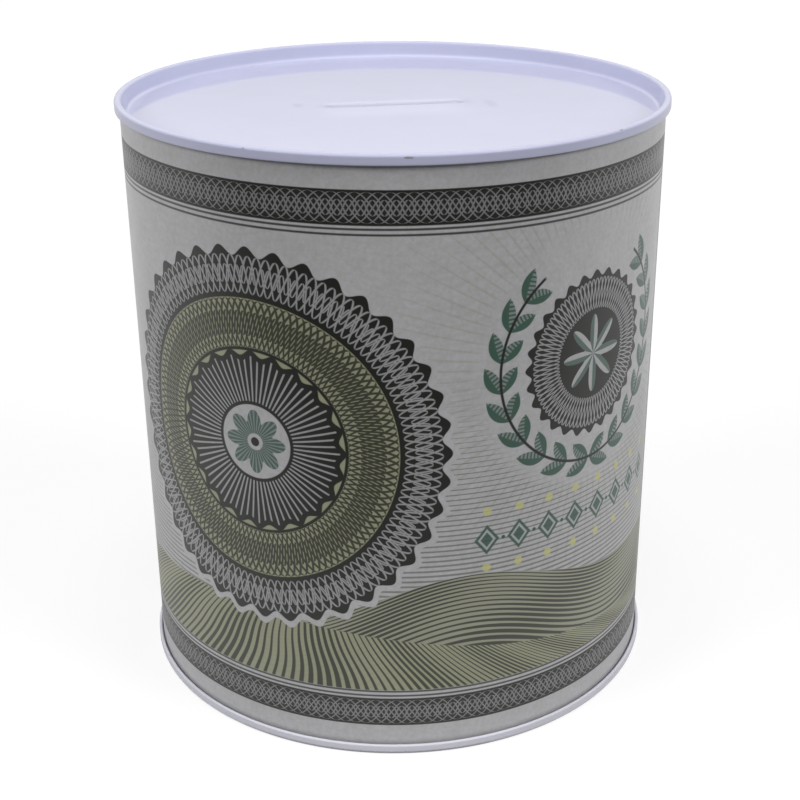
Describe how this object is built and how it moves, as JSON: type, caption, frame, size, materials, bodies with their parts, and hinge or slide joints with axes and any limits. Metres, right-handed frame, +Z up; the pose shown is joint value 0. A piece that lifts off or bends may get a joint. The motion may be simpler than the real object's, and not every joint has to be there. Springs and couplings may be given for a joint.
{
  "type": "money box",
  "caption": "Sealed cylindrical tin money box with seamed ends, a coin slot in its recessed white top and an engraved-style print round the wall.",
  "frame": {"origin": "centre of the seam ring that the tin stands on", "axes": "+Z up along the can's axis, X along the coin slot"},
  "size_m": [0.157, 0.157, 0.1725],
  "materials": {
    "printed_tin": "satin",
    "white_lacquer": "gloss",
    "seam_compound": "matte"
  },
  "bodies": {
    "root": {"body_wall": "printed_tin", "top_end": "white_lacquer", "bottom_end": "white_lacquer", "top_seam_compound": "seam_compound", "bottom_seam_compound": "seam_compound"}
  },
  "joints": []
}
